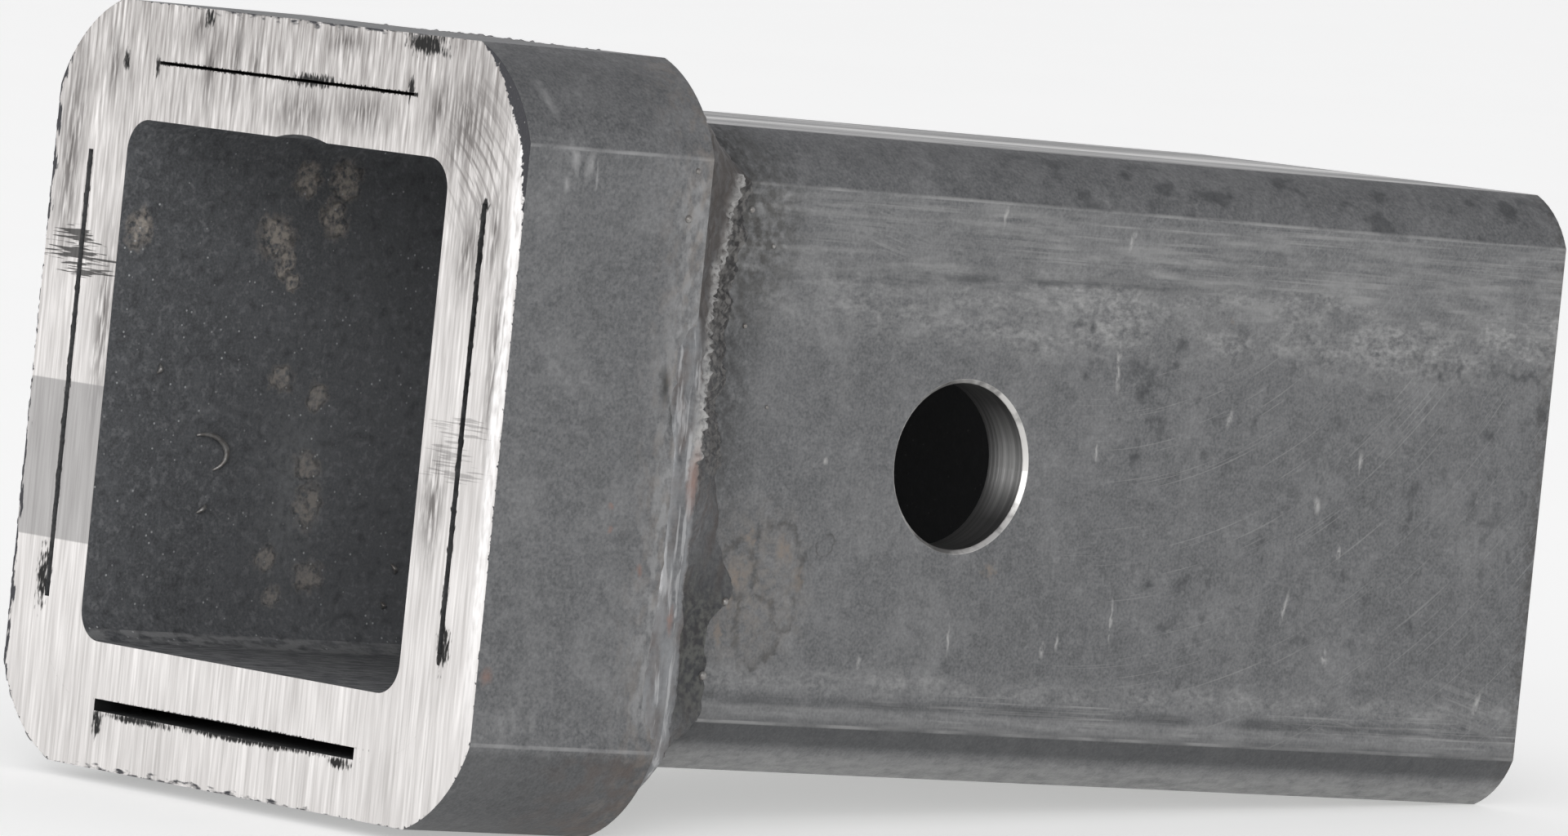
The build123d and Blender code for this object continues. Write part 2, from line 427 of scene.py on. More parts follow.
def mill_scale(place):
    """Colour and roughness of plain scale, and its grain and mottling, which make up its height."""
    clouds = mottle(place, (10, 15, 12), 0.32, 0.68, 3.0)
    blotches = mottle(place, (2.6, 3.4, 2.6), 0.36, 0.64, 4.0)
    mottling = mottle(place, (0.8, 0.9, 0.8), 0.34, 0.66, 3.0)
    grain = mottle(place, 0.3, 0.25, 0.75, 3.0)
    pits = mottle(place, (1.3, 1.5, 1.3), 0.53, 0.64, 4.0)
    flakes = mottle(place, (0.7, 1.0, 0.7), 0.54, 0.68, 4.0)
    light_clouds = mottle(place, (5, 6, 7), 0.46, 0.74, 4.0)
    colour = coats(
        scale_mid, (clouds, 0.36, scale_dark), (blotches, 0.32, scale_dark),
        (light_clouds, 0.26, scale_light), (mottling, 0.36, scale_dark), (grain, 0.34, scale_light),
        (pits, 0.16, "#37393B"), (flakes, 0.13, scale_light),
    )
    roughness = coats(0.52, (clouds, 0.46), (grain, 0.4, 0.6))
    return colour, roughness, grain, mottling


print("scale tones are linear", [round(tone[0], 3) for tone in (scale_dark, scale_mid, scale_light)])

# %% [markdown]
# ## The receiver tube
# The tube carries its history in bands. The drawing rolls rubbed a lighter, speckled band along each
# side wall below the upper crease, the top is burnished and its seam scarfed to bright metal, the
# weld's heat left rings and tan stains behind the collar, and deep inside it painted shade turns the
# scale almost black. The creases and the lower corners carry painted light and shade as well.
# Each is a mask on the tube's own coordinates, laid over plain scale. The larger flecks and nicks
# stand where they are on the real one, and they lie over the rubbed bands.

# %% Finish of the tube
inner_scale, speck = linear("#5A5C5F"), linear("#A4A5A7")

heat_stains = on_wall(
    tube_half, (41.9, -9.3, 0.9, 1.7, 10), (44.0, -11.9, 0.7, 1.5), (37.3, -8.2, 0.7, 0.6),
    (36.2, -12.2, 1.6, 1.5), (35.3, -14.9, 0.5, 0.8, 20), (34.4, -17.5, 0.35, 1.8, 10),
    (68.4, -10.0, 0.75, 0.85), (97.4, 16.6, 0.35, 0.4),
)
heat_rings = on_wall(
    tube_half, (36.0, -11.4, 2.6, 2.9), (41.4, -10.6, 3.3, 4.2, 15), (38.6, -15.0, 1.7, 1.5),
    (39.2, -17.6, 3.0, 3.6, -20), (42.6, -15.6, 1.3, 2.3), (47.2, -8.6, 1.2, 1.2),
)
upright_nicks = on_wall(
    tube_half, (82.8, 11.0, 0.28, 2.8, 3), (81.0, 2.4, 0.22, 1.2), (98.3, 6.6, 0.26, 1.0, -16),
    (116.6, 3.1, 0.3, 1.2), (111.3, -1.6, 0.42, 1.0, 15), (108.3, -12.1, 0.28, 1.8, -12),
    (85.2, -14.5, 0.2, 2.4), (76.5, -17.8, 0.34, 0.9), (78.3, -17.0, 0.22, 0.9),
    (114.4, -17.0, 0.42, 1.0, 10), (136.0, -21.0, 0.36, 1.4, -20), (82.9, 23.7, 0.28, 1.2, -16),
    (64.1, -17.2, 0.2, 1.5), (114.9, -6.2, 0.3, 0.7), (66.0, 25.2, 0.22, 1.0, -10),
    (52.8, -20.2, 0.26, 0.9), (46.0, -0.3, 0.26, 0.4),
)
dark_flecks_placed = on_wall(
    tube_half, (71.4, 12.5, 0.9, 1.08), (76.6, 15.0, 1.26, 1.08), (78.7, 14.6, 1.08, 1.26),
    (84.7, 15.1, 1.44, 1.08), (79.7, 11.8, 1.26, 1.26), (79.0, 9.9, 1.08, 0.9),
    (85.4, 11.0, 2.16, 2.16), (87.0, 9.4, 1.98, 2.52), (84.0, 6.6, 1.08, 1.08),
    (90.7, 13.7, 1.26, 1.44), (90.0, 11.3, 1.26, 1.08), (98.5, 15.4, 1.44, 1.44),
    (99.7, 13.1, 1.26, 1.62), (93.8, 8.0, 1.44, 1.26), (88.3, 5.8, 1.26, 1.08), (86.1, 1.9, 1.08, 1.08),
    (88.8, -2.6, 0.9, 1.08), (101.7, 6.2, 1.26, 1.26), (104.2, -5.8, 1.08, 2.34),
    (113.2, 6.9, 1.62, 1.44), (109.3, 13.6, 1.26, 1.08), (117.8, 9.8, 1.44, 1.44),
    (117.9, 3.4, 1.44, 1.26), (123.1, 13.9, 2.34, 1.98), (127.0, 13.0, 6.48, 1.26),
    (136.6, 13.2, 6.12, 1.08), (133.8, 6.8, 1.62, 1.44), (134.1, 13.4, 1.8, 1.26),
    (124.0, -2.9, 1.44, 1.26), (89.5, -10.4, 0.9, 1.08), (94.3, -10.2, 1.08, 0.9),
    (92.2, -14.9, 1.08, 1.08), (96.7, -16.2, 1.26, 1.08), (111.2, -15.3, 2.52, 1.08),
    (115.8, -9.0, 1.26, 1.08), (119.3, -11.1, 1.44, 1.26), (125.7, -13.5, 1.62, 1.44),
)
scuff_marks = on_wall(
    tube_half, (134.0, -22.0, 12.0, 4.2), (116.0, -24.0, 9.0, 2.4), (51.0, 22.0, 9.0, 3.6, -8),
)
inner_burns = on_wall(
    inner_wall, (23.0, 21.4, 1.5, 1.6), (27.9, 21.5, 1.7, 2.0), (26.8, 17.6, 1.4, 1.9, 25),
    (19.7, 15.3, 2.1, 2.0), (21.2, 12.6, 0.9, 1.5, -25), (22.3, 10.9, 0.9, 0.7), (26.8, -0.4, 1.2, 1.3),
    (22.1, 1.1, 1.5, 1.2), (26.4, -7.6, 1.6, 1.4), (26.9, -11.6, 1.5, 2.2), (22.3, -17.1, 1.3, 1.2),
    (27.8, -18.6, 1.8, 1.4), (23.5, -20.9, 1.1, 1.0), (2.4, 15.1, 1.3, 1.8),
)


def ring_marks(place, marks):
    """The outline of each mark only: inside its edge, less what lies well inside it."""
    near = closeness(place, marks)
    filled = add("MapRange", (near, 1 - 1.12 / mark_ball, 1 - 0.98 / mark_ball))
    core = add("MapRange", (near, 1 - 0.92 / mark_ball, 1 - 0.7 / mark_ball))
    return fold("SUBTRACT", filled, core)


tube_finish, place = new_finish("mill_scaled_drawn_steel")
x, y, z = add("SeparateXYZ", (place,)).node.outputs
colour, roughness, grain, mottling = mill_scale(place)

across = add("Math", (x,), operation="ABSOLUTE")
upward = add("Math", (z,), operation="ABSOLUTE")
reach_out = fold("MAXIMUM", across, upward)
hole_offset = add("VectorMath", (place, (0.0, -pin_hole_setback, 0.0)), operation="ADD")
hole_offset = add("VectorMath", (hole_offset, (0, 1, 1)), operation="MULTIPLY")
hole_radius = add("VectorMath", (hole_offset,), out="Value", operation="LENGTH")

mouth = fold("LESS_THAN", y, face_depth)
sawn_end = fold("GREATER_THAN", y, tube_length - face_depth)
in_hole = fold("LESS_THAN", hole_radius, pin_hole_rim)
inside = fold("LESS_THAN", reach_out, 28.0)
print("tube regions: mouth, sawn end, inside, and the hole, out to", pin_hole_rim, "mm")

# %% Marks rubbed bright on the outside, and painted highlights on the creases and lower corners
on_side = band(across, tube_half - 0.05, tube_half + 0.05)
far_along = add("MapRange", (y, 30, 70, 0.35, 1.0))
patchy = mottle(place, (5, 9, 4), 0.36, 0.6, 3.0)
speckles = fold(
    "ADD", mottle(place, (0.42, 0.7, 0.42), 0.38, 0.74, 5.0),
    fold("MULTIPLY", mottle(place, (1.6, 3.2, 1.2), 0.44, 0.64, 4.0), 0.45),
)
wavy = add("SeparateXYZ", (ragged(place, (7, 9, 5), (0, 0, 1.3)),)).node.outputs[2]
speckled_band = fold(
    "MULTIPLY", on_side, band(wavy, 14.0, 18.5, 3.5), fold("ADD", patchy, 0.25), speckles, far_along,
)
upper_pale = fold(
    "MULTIPLY", on_side, band(wavy, 17.5, 25.4, 2.5), mottle(place, (4, 9, 0.8), 0.36, 0.68, 5.0),
    fold("ADD", mottle(place, (9, 14, 3.5), 0.42, 0.6, 3.0), 0.4), 0.72,
)
rubbed_and_highlit = fold("MAXIMUM", speckled_band, upper_pale)
drawn_lines = fold(
    "MULTIPLY", mottle(place, (0.5, 22, 0.3), 0.48, 0.64, 3.0), on_side, patchy,
    fold("MAXIMUM", band(z, 18.5, 26.0, 2.0), band(z, -26.5, -22.5, 1.0)), far_along, 0.9,
)
low_speckle = fold(
    "MULTIPLY", band(z, -22.6, -21.6, 1.3), speckles, mottle(place, (2, 6, 2), 0.25, 0.6), 0.85,
)
rubbed_and_highlit = fold("MAXIMUM", rubbed_and_highlit, drawn_lines, low_speckle)
low_strip = fold(
    "MULTIPLY", band(z, -26.5, -24.9, 0.6), on_side, mottle(place, (2, 7, 0.6), 0.2, 0.7, 3.0), 0.55,
)
# Painted light: lighter along the bottom of the lower corners, as if bounced up from the floor.
painted_low_corner_bounce = fold(
    "MULTIPLY", band(z, -31.74, -30.2, 1.6), mottle(place, (0.9, 2.2, 0.9), 0.15, 0.62, 4.0), 0.95,
)
# A painted highlight along the tube's creases.
painted_crease_highlight = fold(
    "MULTIPLY", band(upward, tube_crease_line - 0.16, tube_crease_line + 0.06, 0.12),
    band(across, 31.3, 31.8), mottle(place, (2, 7, 2), 0.34, 0.62, 3.0),
)
rubbed_and_highlit = fold("MAXIMUM", rubbed_and_highlit, low_strip, painted_low_corner_bounce, painted_crease_highlight)
print("rubbed bands laid on the side walls")

# %% Scratches, nicks and scuffs on the outside
arc_place = add("VectorMath", (place, (0.0, -78.0, -52.0)), operation="ADD")
arc_apart = add("SeparateXYZ", (arc_place,)).node.outputs
arc_flat = add("VectorMath", (arc_place, (0, 1, 1)), operation="MULTIPLY")
arc_radius = add("VectorMath", (arc_flat,), out="Value", operation="LENGTH")
arc_angle = fold("ARCTAN2", arc_apart[1], arc_apart[2])
arc_polar = add("CombineXYZ", (arc_radius, fold("MULTIPLY", arc_angle, 30.0), across))
arc_scratches = fold(
    "MULTIPLY", mottle(arc_polar, (0.17, 8.0, 9.0), 0.675, 0.72, 1.0), on_side,
    add("MapRange", (y, 70, 90)), 0.55,
)
rubbed_and_highlit = fold("MAXIMUM", rubbed_and_highlit, arc_scratches)
nick_place = ragged(place, (9, 0.9, 1.4), (0, 0.2, 0.0))
nicks = fold(
    "MULTIPLY", on_side, 0.66, spots(nick_place, upright_nicks, 0.1, 1.2),
    mottle(place, (9, 0.5, 0.7), 0.34, 0.52, 3.0),
)
leaning = add("Mapping", {"Vector": place, "Rotation": (math.radians(14), 0, 0)})
scuff_lines = mottle(leaning, (9, 5.0, 0.32), 0.47, 0.64, 4.0)
scuffs = fold(
    "MULTIPLY", on_side, scuff_lines, 0.62,
    spots(ragged(place, 3, (0, 1.5, 1.0)), scuff_marks, 0.2, 1.1),
)
rubbed_and_highlit = fold("MAXIMUM", rubbed_and_highlit, scuffs)
print("scratches:", len(upright_nicks), "nicks and", len(scuff_marks), "scuffs")

# %% Dark flecks, soot, scorching and painted shade on the outside
# Painted shade on the lower corners just below the crease, and a thin dark stripe lower on the side
# walls.
painted_crease_shade_and_stripe = fold(
    "MAXIMUM", fold("MULTIPLY", band(z, -28.3, -26.65, 1.2), 0.66),
    fold("MULTIPLY", band(z, -24.5, -23.9, 0.5), on_side, mottle(place, (2, 8, 2), 0.35, 0.6), 0.5),
)
fleck_zone = fold(
    "MULTIPLY", mottle(place, (8, 9, 9), 0.4, 0.58), add("MapRange", (y, 66, 88)),
    band(z, -26.0, 14.0, 6.0),
)
scattered_flecks = fold("MULTIPLY", fleck_zone, 0.4, mottle(place, (9, 2.2, 2.6), 0.59, 0.68, 3.0))
placed_flecks = fold("MULTIPLY", on_side, 0.7, eaten(
    spots(ragged(place, 2.2, (0, 0.5, 0.5)), dark_flecks_placed, 0.0, 1.3),
    mottle(place, 0.9, 0.22, 0.68, 4.0), 0.9,
))
roll_edge_mark = on_wall(tube_half, (68.0, 18.7, 36.0, 0.8, 1.65))
roll_edge = fold(
    "MULTIPLY", on_side, 0.62, spots(ragged(place, (7, 9, 5), (0, 0, 0.5)), roll_edge_mark, 0.2, 1.2),
    mottle(place, (2.0, 5.0, 0.9), 0.36, 0.6, 4.0),
)
over_rubbed = fold("MAXIMUM", placed_flecks, roll_edge)
corner_stains = fold(
    "MULTIPLY", band(z, 26.8, 31.0, 0.5), mottle(place, (3.0, 3.6, 3.0), 0.54, 0.66, 3.0),
    add("MapRange", (y, 50, 80)), 0.55,
)
dark_flecks = fold("MAXIMUM", scattered_flecks, corner_stains)
soot = fold(
    "MULTIPLY", add("MapRange", (y, 37.5, 31.0)), mottle(place, (0.8, 0.8, 1.0), 0.3, 0.62, 4.0), 0.85,
    add("MapRange", (z, -8.0, 4.0, 0.5, 1.0)),
)
scorch_mark = on_wall(tube_half, (38.5, -13.0, 7.5, 9.0))
scorch_zone = spots(ragged(place, 3, (0, 1.2, 1.2)), scorch_mark, 0.3, 1.1)
scorch = fold("MULTIPLY", on_side, scorch_zone, mottle(place, (0.9, 1.0, 0.9), 0.36, 0.64, 4.0), 0.46)
end_grime = fold(
    "MULTIPLY", add("MapRange", (y, 139.8, 142.0)), mottle(place, 0.8, 0.42, 0.58, 4.0), 0.5,
)
colour = coats(
    colour, (painted_crease_shade_and_stripe, "#3C3D3F"), (dark_flecks, "#333538"), (soot, "#2F2F2F"), (scorch, "#8B847C"),
    (end_grime, "#3C3834"),
)
print("dark marks laid")

# %% Heat rings, stains and the scarfed seam, over the rubbed marks
heat_dark = fold(
    "MULTIPLY", spots(place, on_wall(31.0, (34.5, 22.0, 6.0, 10.0)), 0.2, 1.2),
    mottle(place, (0.9, 1.0, 0.9), 0.36, 0.6, 4.0), 0.74,
)
ring_place = ragged(place, 2.0, (0, 0.9, 0.9))
rings = fold("MULTIPLY", ring_marks(ring_place, heat_rings), mottle(place, 1.1, 0.34, 0.56, 4.0), 0.5)
stains = fold(
    "MULTIPLY", spots(ragged(place, 1.2, (0, 0.7, 0.7)), heat_stains, 0.2, 1.25),
    mottle(place, 0.7, 0.36, 0.6, 4.0),
)
on_top = fold("GREATER_THAN", z, tube_half - 0.06)
drag_lines = mottle(place, (0.5, 45, 9), 0.34, 0.6, 4.0)
burnished = fold(
    "MULTIPLY", on_top, drag_lines,
    fold("ADD", fold("MULTIPLY", mottle(place, (6, 26, 9), 0.36, 0.6, 3.0), 0.5), 0.5),
)
seam_edge = add("SeparateXYZ", (ragged(place, (3, 9, 9), (0.5, 0, 0)),)).node.outputs[0]
scarf = fold("MULTIPLY", on_top, band(seam_edge, -1.9, 6.3, 0.4), fold("ADD", drag_lines, 0.4))
colour = coats(
    colour, (rubbed_and_highlit, 0.58, "#A5A5A4"), (over_rubbed, "#36383B"), (heat_dark, "#35332F"),
    (rings, "#383634"), (nicks, "#BDBCBA"), (stains, 0.85, "#8D837A"), (burnished, "#B2B0AE"),
    (scarf, 0.75, "#C2C0BD"),
)
bared = fold("MINIMUM", fold("MAXIMUM", burnished, scarf), 1.0)
metallic = coats(0.35, (rubbed_and_highlit, 0.6, 0.8), (bared, 1.0))
roughness = coats(roughness, (rubbed_and_highlit, 0.42), (stains, 0.8), (bared, 0.3))
print("outside of the tube:", len(heat_stains), "stains,", len(heat_rings), "heat rings")

# %% Inside of the tube
lit_floor = fold(
    "MULTIPLY", fold("LESS_THAN", z, -25.0), mottle(place, (0.8, 2.5, 0.8), 0.4, 0.6, 3.0), 0.6,
)
grit = mottle(place, (0.55, 0.6, 0.55), 0.52, 0.66, 4.0)
inner_pits = mottle(place, (1.1, 1.2, 1.1), 0.55, 0.66, 4.0)
worn_zone = on_wall(inner_wall, (24.6, -10.0, 4.6, 11.5))
worn = fold(
    "MULTIPLY", spots(ragged(place, 4, (0, 1.5, 1.5)), worn_zone, 0.2, 1.2),
    mottle(place, 0.7, 0.34, 0.6, 4.0), 0.62,
)
burn_place = ragged(place, 1.1, (0, 0.55, 0.55))
burns = fold(
    "MULTIPLY", spots(burn_place, inner_burns, 0.65, 1.36), mottle(place, 0.6, 0.34, 0.58, 5.0),
    add("MapRange", (z, 3, 9, 0.55, 0.92)),
)
specks = fold("MULTIPLY", flecks(place, 0.95, 0.55, 0.15), mottle(place, 5, 0.36, 0.56))
# Painted shade: deeper into the tube the inside turns almost black.
deep_painted_shade = add("MapRange", (y, 60, 95))
burn_rims = fold(
    "MULTIPLY", ring_marks(burn_place, inner_burns), mottle(place, 1.0, 0.38, 0.56, 3.0), 0.5,
)
inner = coats(
    inner_scale, (mottle(place, (6, 7, 7), 0.35, 0.65, 3.0), 0.4, "#35373A"),
    (mottle(place, (1.6, 1.8, 1.6), 0.38, 0.68, 4.0), 0.48, "#333538"), (grain, 0.3, speck),
    (add("MapRange", (y, 4, 44, 0, 0.5)), "#7C7E81"), (lit_floor, scale_light), (grit, 0.46, "#949597"),
    (inner_pits, 0.36, "#26272A"), (worn, "#8B8D8E"), (burns, "#B9B0A6"), (burn_rims, "#232427"),
    (specks, "#C6C7C8"), (deep_painted_shade, 0.95, "#0E0F10"),
)
colour = coats(colour, (inside, inner))
metallic = coats(metallic, (inside, 0.12))
roughness = coats(roughness, (inside, add("MapRange", (deep_painted_shade, 0, 1, 0.66, 0.95))))
print("inside of the tube:", len(inner_burns), "burns")

# %% Bore, mouth and sawn end of the tube
turned_rings = mottle(place, (0.5, 40, 40), 0.3, 0.7)
# Painted highlight across the middle of the hole's rear wall.
painted_bore_highlight = fold(
    "MULTIPLY", band(z, -1.2, 2.4, 4.0), add("MapRange", (y, 62, 66)),
    add("MapRange", (across, 26.0, 28.5)),
)
# The machined chamfer ring round the hole, painted lighter on its far side and dimmer on its near side
# as light and shade.
bore_chamfer_and_highlight = fold(
    "MULTIPLY", add("MapRange", (across, 31.2, 31.5)), add("MapRange", (y, 61.0, 69.0, 0.3, 1.0)),
    fold("ADD", mottle(place, (9, 1.6, 1.6), 0.34, 0.56, 3.0), 0.35),
)
bore_chamfer_and_highlight = fold("MINIMUM", bore_chamfer_and_highlight, 1.0)
bore_colour = coats(
    "#7E7D7C", (painted_bore_highlight, "#E4E3E1"), (turned_rings, 0.62, "#454545"), (bore_chamfer_and_highlight, "#D8D6D3"),
)
saw_lines = mottle(place, (26, 9, 0.5), 0.3, 0.7, 2.0)
sawn_colour = coats("#A4A2A0", (saw_lines, 0.5, "#6D6B69"))
ground_colour, ground_roughness, ground_lines, clean = ground_mouth(place, x, z)

colour = coats(colour, (in_hole, bore_colour), (sawn_end, sawn_colour), (mouth, ground_colour))
metallic = coats(metallic, (in_hole, 0.75), (sawn_end, 0.9), (mouth, clean))
roughness = coats(roughness, (in_hole, 0.36), (sawn_end, 0.45), (mouth, ground_roughness))
height = coats(
    fold("ADD", grain, mottling), (in_hole, turned_rings), (mouth, ground_lines), (sawn_end, saw_lines),
)
close_finish(colour, metallic, roughness, height, 0.02)
dress("receiver_tube", tube_finish)

# %% [markdown]
# ## The reinforcing collar
# The collar is a short length of heavier tube with the same scale, but it was handled more: it is
# chipped near its upper crease, wiped lighter in upright drips low down, and brown where the weld's
# heat reached its rear edge. The chips are drawn where they are on the real one.

# %% Finish of the collar
collar_finish, place = new_finish("mill_scaled_formed_steel")
x, y, z = add("SeparateXYZ", (place,)).node.outputs
colour, roughness, grain, mottling = mill_scale(place)
chip_place = ragged(place, (0.8, 0.8, 1.2), (0, 0.25, 0.4))
chip_marks = on_wall(
    collar_half, (5.6, 27.6, 0.5, 1.6, 15), (7.6, 27.0, 0.5, 1.5, -8), (8.6, 25.9, 0.18, 1.3),
    (5.0, 25.0, 0.5, 0.7), (20.3, 22.6, 0.9, 0.7),
) + on_wall(36.6, (3.4, 33.0, 0.7, 1.6, 25))
collar_chips = spots(chip_place, chip_marks, 0.1, 1.3)
wiped = spots(chip_place, on_wall(
    collar_half, (5.2, -25.2, 0.8, 3.0, -6), (3.4, -27.4, 0.9, 1.8), (7.2, -27.4, 0.8, 1.6),
    (17.6, -23.0, 1.8, 4.6, -4), (19.5, 12.0, 1.2, 9.0, 3), (20.4, -4.0, 0.9, 9.0, 3),
), 0.0, 1.2)
crease_height = fold("ADD", z, collar_drop)
crease_up = add("Math", (crease_height,), operation="ABSOLUTE")
across = add("Math", (x,), operation="ABSOLUTE")
# A painted highlight along the collar's creases.
painted_crease_highlight = fold(
    "MULTIPLY", band(crease_up, collar_crease_line - 0.2, collar_crease_line + 0.05, 0.12),
    band(across, collar_half - 0.35, collar_half + 0.05), mottle(place, (2, 5, 2), 0.28, 0.62, 3.0),
)
rusty_edge = fold(
    "MULTIPLY", add("MapRange", (y, 15.5, 22.0)), mottle(place, (1.1, 1.1, 2.0), 0.48, 0.66, 3.0),
)
# Lighter mottled streaks along the rear edge of the flat sides.
light_streaks_by_rear_edge = fold(
    "MULTIPLY", add("MapRange", (y, 17.2, 21.0)), band(z, -26.0, 27.0, 2.0),
    mottle(place, (0.9, 0.9, 1.5), 0.42, 0.6, 4.0), 0.85,
)
notch_marks = on_wall(collar_half, (19.5, 6.4, 0.75, 2.0, 8), (20.6, 3.6, 0.35, 1.2))
edge_notch = spots(chip_place, notch_marks, 0.2, 1.2)
under_shade = add("MapRange", (crease_height, -28.9, -30.2, 0, 0.42))
rust_dots = spots(chip_place, on_wall(
    collar_half, (18.6, -11.7, 0.45, 0.55), (14.3, -5.6, 0.35, 0.4), (14.6, -8.0, 0.35, 0.4),
    (1.2, -22.8, 0.8, 0.9),
), 0.2, 1.3)
low_corner = fold(
    "MULTIPLY", add("MapRange", (crease_height, -28.8, -30.0)),
    mottle(place, (2.0, 2.4, 2.0), 0.42, 0.64, 3.0), add("MapRange", (y, 8, 19)),
)
rubbed_and_highlit = fold(
    "MAXIMUM", collar_chips, painted_crease_highlight, light_streaks_by_rear_edge,
    fold("MULTIPLY", wiped, mottle(place, (0.8, 0.8, 1.6), 0.36, 0.62, 3.0), 0.6),
)
colour = coats(
    colour, (under_shade, "#2F3032"), (rubbed_and_highlit, 0.66, scale_light), (edge_notch, 0.82, "#2E2E2C"),
    (rusty_edge, 0.38, rust_tan), (low_corner, 0.55, rust_dark), (rust_dots, 0.6, rust_pink),
)
ground_colour, ground_roughness, ground_lines, clean = ground_mouth(place, x, z)
depth = rim_depth(x, z)
rim = ragged_rim(place, depth)
mouth = fold("LESS_THAN", y, face_depth)
polished = fold("MULTIPLY", mouth, fold("SUBTRACT", 1.0, rim))
# The glint is a painted highlight along that bright line.
glint = fold("MULTIPLY", polished, rim_highlight_line(place, depth), 0.8)
colour = coats(colour, (mouth, rim, "#35353A"), (polished, ground_colour), (glint, "#F7F5F4"))
metallic = coats(0.35, (rubbed_and_highlit, 0.6, 0.8), (polished, clean))
roughness = coats(roughness, (rubbed_and_highlit, 0.42), (polished, ground_roughness))
height = coats(fold("ADD", grain, mottling), (polished, ground_lines))
close_finish(colour, metallic, roughness, height, 0.02)
dress("reinforcing_collar", collar_finish)

# %% [markdown]
# ## The corner welds
# Weld metal fills the clearance between tube and collar at the four corners and was ground away with
# them, so on the mouth it can't be told from its neighbours. Deeper in, along the ends of the slits,
# it is dark and raw.

# %% Finish of the corner welds
corner_finish, place = new_finish("ground_weld_metal")
x, y, z = add("SeparateXYZ", (place,)).node.outputs
ground_colour, ground_roughness, ground_lines, clean = ground_mouth(place, x, z)
mouth = fold("LESS_THAN", y, face_depth)
lumps = mottle(place, 1.2, 0.3, 0.7, 3.0)
colour = coats(grime, (lumps, 0.3, scale_dark), (mouth, ground_colour))
metallic = coats(0.3, (mouth, clean))
roughness = coats(0.7, (mouth, ground_roughness))
height = coats(lumps, (mouth, ground_lines))
close_finish(colour, metallic, roughness, height, 0.02)
dress("front_corner_welds", corner_finish)

# %% [markdown]
# ## The rear weld
# One hand-laid fillet runs round the tube behind the collar. It rolled over the collar's edge where
# the metal ran hot, sagged into a wide hollow low on the right, and is grainy where two passes meet.
# A bevelled block would look cast, so the bead is a surface of two parameters: u runs once round
# the tube, and v crosses the section from the collar's edge down to the toe on the tube.

# %% Path of the bead round the tube and the collar
flat_share = 0.86


def rolled_outline(u, half, crease, radius):
    """Points of a rolled square, u being 1 a side: straight for flat_share of each, then an arc."""
    side = np.floor(u)
    along = (u - side) / flat_share
    near = half - crease
    centre = half - crease / 2 - np.sqrt(radius**2 - crease**2 / 2) / np.sqrt(2)
    start = np.arctan2(near - centre, half - centre)
    turn = start + (along - 1) * flat_share / (1 - flat_share) * (np.pi / 2 - 2 * start)
    on_flat = along < 1
    out = np.where(on_flat, half, centre + radius * np.cos(turn))
    over = np.where(on_flat, near * (2 * along - 1), centre + radius * np.sin(turn))
    angle = side * np.pi / 2
    cos, sin = np.cos(angle), np.sin(angle)
    return np.stack([out * cos - over * sin, out * sin + over * cos], -1)


rounds, face_rows = 1240, 44
u = np.arange(rounds) * 4 / rounds
on_tube = rolled_outline(u, *tube_section)
on_collar = rolled_outline(u, *collar_section) - [0, collar_drop]
step_lengths = np.linalg.norm(np.roll(on_tube, -1, 0) - on_tube, axis=1)
along_bead = np.concatenate([[0.0], np.cumsum(step_lengths)[:-1]])
print("bead runs", round(step_lengths.sum(), 1), "mm round the tube")

# %% Size of the bead, station by station
# Each row: side (0 right, 1 top, 2 left, 3 bottom), share of the flat from -1 to 1, toe length,
# how far the crest stands over the collar's face, its lap over the edge, hollow, width of the crest.
bead_stations = np.array([
    (0, -1.0, 10.6, -0.1, 1.3, 2.6, 1.6), (0, -0.84, 10.4, 0.22, 2.6, 3.3, 1.9),
    (0, -0.63, 11.0, 0.28, 2.2, 3.6, 1.8), (0, -0.5, 13.6, 0.3, 1.7, 3.7, 1.6),
    (0, -0.39, 11.4, 0.3, 1.5, 3.0, 1.6), (0, -0.21, 10.0, 0.32, 1.4, 2.1, 1.7),
    (0, 0.02, 9.6, 0.34, 1.4, 1.7, 1.6), (0, 0.16, 9.4, 0.32, 2.6, 1.8, 1.1),
    (0, 0.36, 9.2, 0.22, 2.4, 1.9, 0.7), (0, 0.5, 9.2, -0.2, 0.6, 2.0, 0.2),
    (0, 0.72, 9.8, -0.5, 0.2, 2.0, 0.1), (0, 1.0, 10.6, -0.55, 0.2, 2.0, 0.1),
    (1, -1.0, 7.0, -0.4, 0.2, 1.9, 0.1), (1, -0.53, 8.4, -0.05, 0.5, 1.5, 0.4),
    (1, 0.04, 7.9, 0.08, 0.7, 1.45, 0.6), (1, 0.53, 7.4, -0.1, 0.5, 1.5, 0.4),
    (1, 1.0, 6.8, -0.4, 0.2, 1.55, 0.1), (2, -1.0, 7.4, -0.25, 0.3, 1.55, 0.2),
    (2, -0.49, 9.0, 0.26, 1.2, 1.45, 1.2), (2, 0.02, 8.0, 0.26, 1.2, 1.45, 1.2),
    (2, 0.53, 8.2, -0.05, 0.7, 1.5, 0.6), (2, 1.0, 7.1, -0.4, 0.2, 1.55, 0.1),
    (3, -1.0, 7.2, -0.6, 0.2, 1.55, 0.1), (3, -0.53, 8.6, -0.45, 0.3, 1.5, 0.4),
    (3, 0.0, 7.9, -0.35, 0.3, 1.45, 0.5), (3, 0.53, 8.8, -0.45, 0.3, 1.5, 0.5),
    (3, 1.0, 8.4, -0.6, 0.2, 2.0, 0.6),
])
corner_u = np.arange(4) + (1 + flat_share) / 2
corner_rows = np.tile([6.3, -0.55, 0.2, 2.0, 0.1], (4, 1))
corner_rows[3, 0] = 7.8
corner_rows[1:3, 3] = 1.6
